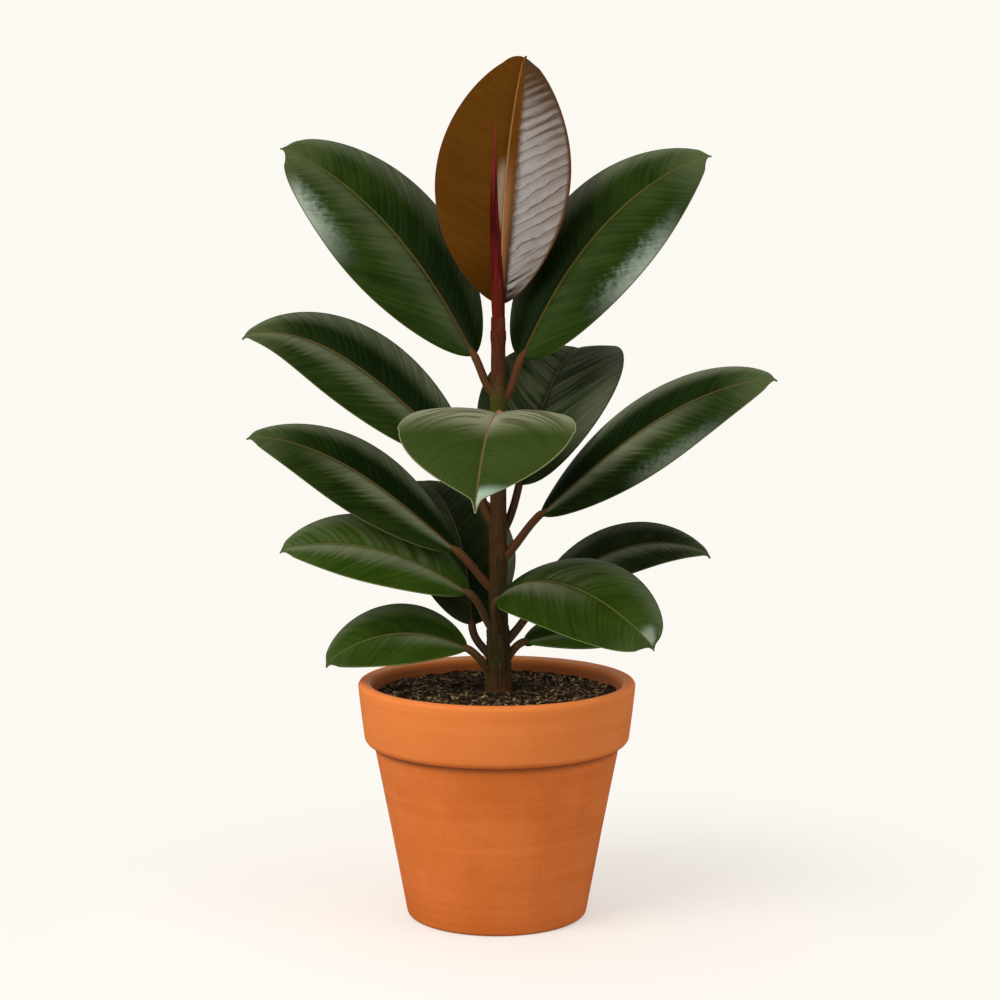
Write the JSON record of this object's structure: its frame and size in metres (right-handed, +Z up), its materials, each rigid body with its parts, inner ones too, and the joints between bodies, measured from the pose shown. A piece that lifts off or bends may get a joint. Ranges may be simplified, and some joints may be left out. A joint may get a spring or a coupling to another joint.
{
  "type": "potted rubber plant",
  "caption": "Upright single-stemmed rubber plant with large glossy oval leaves, a bronze young leaf and a red bud sheath, in a plain terracotta pot filled with soil.",
  "frame": {"origin": "centre of the underside of the pot, on the surface it stands on", "axes": "+X to the right of the front view, +Y away from the viewer, +Z up along the stem"},
  "size_m": [0.3786, 0.2934, 0.6161],
  "materials": {
    "terracotta": "matte",
    "soil": "matte",
    "stem": "satin",
    "bud_sheath": "satin",
    "leaf": "gloss",
    "young_leaf": "satin"
  },
  "bodies": {
    "root": {"pot": "terracotta", "soil": "soil", "stem": "stem", "bud_sheath": "bud_sheath", "leaf_crown": "young_leaf", "leaf_upper_left": "leaf", "leaf_upper_right": "leaf", "leaf_front": "leaf", "leaf_middle_left": "leaf", "leaf_back_right": "leaf", "leaf_middle_right": "leaf", "leaf_lower_left": "leaf", "leaf_low_left": "leaf", "leaf_low_right_front": "leaf", "leaf_low_right_back": "leaf", "leaf_back_left": "leaf", "leaf_lowest_right": "leaf", "leaf_lowest_left": "leaf"}
  },
  "joints": []
}
